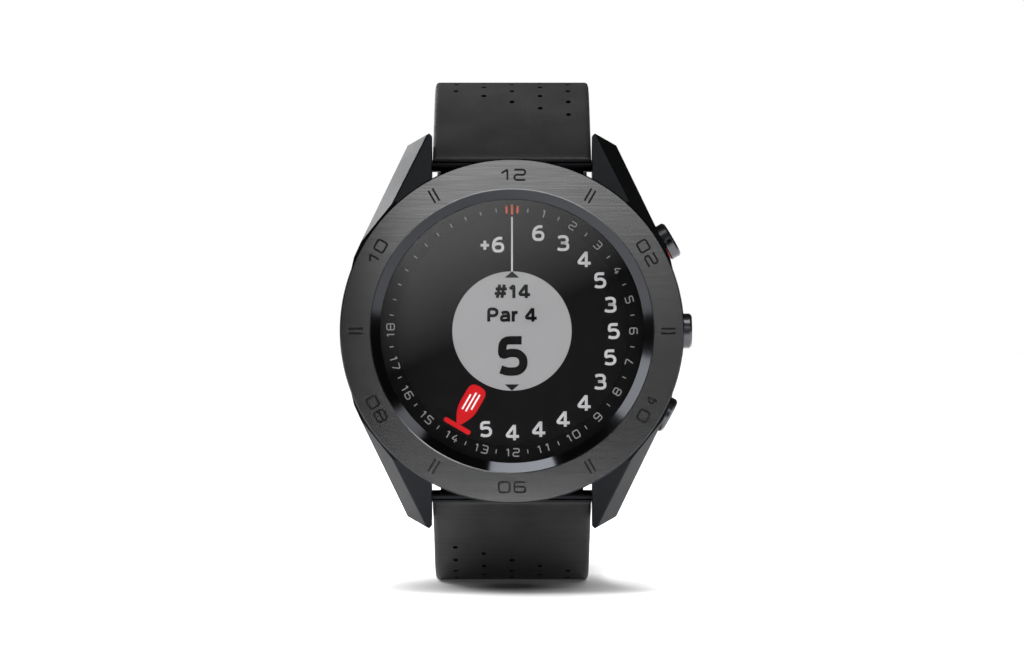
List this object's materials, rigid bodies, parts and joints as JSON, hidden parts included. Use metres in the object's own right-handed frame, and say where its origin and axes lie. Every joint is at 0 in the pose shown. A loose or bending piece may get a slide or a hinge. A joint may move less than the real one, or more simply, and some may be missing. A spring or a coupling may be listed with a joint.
{
  "type": "golf gps watch",
  "caption": "Round golf watch with a brushed numeral bezel, display under glass, three side buttons and a two-part leather strap with pin buckle.",
  "frame": {"origin": "middle of the face of the case back that lies on the wrist", "axes": "+Z towards 12 o'clock, +X towards the buttons, +Y towards the wrist, so the dial faces -Y"},
  "size_m": [0.0434, 0.1029, 0.065],
  "materials": {
    "case_black": "satin black ion-plated steel",
    "bezel_steel": "brushed, dark ion-plated",
    "black_enamel": "paint fill",
    "glass": "polished",
    "rubber": "moulded",
    "ring_black": "fine satin",
    "display": "gloss",
    "antenna": "plated",
    "board_green": "solder mask",
    "chip_black": "moulded",
    "chassis_grey": "moulded",
    "cell_foil": "foil",
    "steel": "satin",
    "steel_dark": "dark ion-plated",
    "orange_anodised": "anodised",
    "back_black": "moulded, glass filled",
    "gold": "gold plated",
    "leather_black": "smooth grain",
    "lining_black": "fine nubuck"
  },
  "bodies": {
    "case": {"case_body": "case_black", "bezel": "bezel_steel", "bezel_paint": "black_enamel", "glass": "glass", "glass_gasket": "rubber", "number_ring": "ring_black", "display_module": "display", "antenna_ring": "antenna", "main_board": "board_green", "board_chips": "chip_black", "chassis": "chassis_grey", "battery": "cell_foil", "vibration_motor": "steel", "button_switches": "steel", "case_back": "back_black", "back_seal": "rubber", "case_back_screws": "steel_dark", "charging_contacts": "gold", "strap_bar_upper": "case_black", "strap_bar_lower": "case_black", "button_top_spring": "steel", "button_middle_spring": "steel", "button_bottom_spring": "steel"},
    "button_top": {"button_top": "steel_dark", "button_top_collar": "orange_anodised", "button_top_clip": "steel", "button_top_seal": "rubber"},
    "button_middle": {"button_middle": "steel_dark", "button_middle_clip": "steel", "button_middle_seal": "rubber"},
    "button_bottom": {"button_bottom": "steel_dark", "button_bottom_clip": "steel", "button_bottom_seal": "rubber"},
    "strap_upper": {"leather_upper": "leather_black", "lining_upper": "lining_black", "release_end_upper": "steel", "latch_spring_upper": "steel", "buckle_bar": "steel", "keeper_fixed": "leather_black"},
    "latch_upper": {"latch_upper": "steel"},
    "strap_lower": {"leather_lower": "leather_black", "lining_lower": "lining_black", "release_end_lower": "steel", "latch_spring_lower": "steel"},
    "latch_lower": {"latch_lower": "steel"},
    "buckle": {"buckle_frame": "steel_dark"},
    "tang": {"tang": "steel_dark"},
    "keeper_free": {"keeper_free": "leather_black"}
  },
  "joints": [
    {"name": "strap_upper_hinge", "type": "hinge", "parent": "case", "child": "strap_upper", "pos_m": [0, -0.0028, 0.0206], "axis": [1, 0, 0], "range_deg": [-3, 60]},
    {"name": "strap_lower_hinge", "type": "hinge", "parent": "case", "child": "strap_lower", "pos_m": [0, -0.0028, -0.0206], "axis": [-1, 0, 0], "range_deg": [-3, 60]},
    {"name": "upper_latch_slide", "type": "slide", "parent": "strap_upper", "child": "latch_upper", "axis": [0, 0.809, 0.5878], "range_m": [0, 0.001], "stiffness_N_per_m": 400, "springref_m": -0.0008, "deforming": ["latch_spring_upper"]},
    {"name": "lower_latch_slide", "type": "slide", "parent": "strap_lower", "child": "latch_lower", "axis": [0, 0.809, -0.5878], "range_m": [0, 0.001], "stiffness_N_per_m": 400, "springref_m": -0.0008, "deforming": ["latch_spring_lower"]},
    {"name": "buckle_hinge", "type": "hinge", "parent": "strap_upper", "child": "buckle", "pos_m": [0, 0.06185, 0.00529], "axis": [1, 0, 0], "range_deg": [-12, 25]},
    {"name": "tang_hinge", "type": "hinge", "parent": "buckle", "child": "tang", "pos_m": [0, 0.06185, 0.00529], "axis": [1, 0, 0], "range_deg": [0, 60]},
    {"name": "keeper_slide", "type": "slide", "parent": "strap_upper", "child": "keeper_free", "axis": [0, 0.7071, -0.7071], "range_m": [0, 0.0032]},
    {"name": "button_top_press", "type": "slide", "parent": "case", "child": "button_top", "axis": [-0.866, 0, -0.5], "range_m": [0, 0.0005], "stiffness_N_per_m": 1500, "springref_m": -0.0004, "deforming": ["button_top_spring"]},
    {"name": "button_middle_press", "type": "slide", "parent": "case", "child": "button_middle", "axis": [-1, 0, 0], "range_m": [0, 0.0005], "stiffness_N_per_m": 1500, "springref_m": -0.0004, "deforming": ["button_middle_spring"]},
    {"name": "button_bottom_press", "type": "slide", "parent": "case", "child": "button_bottom", "axis": [-0.8788, 0, 0.4772], "range_m": [0, 0.0005], "stiffness_N_per_m": 1500, "springref_m": -0.0004, "deforming": ["button_bottom_spring"]}
  ]
}
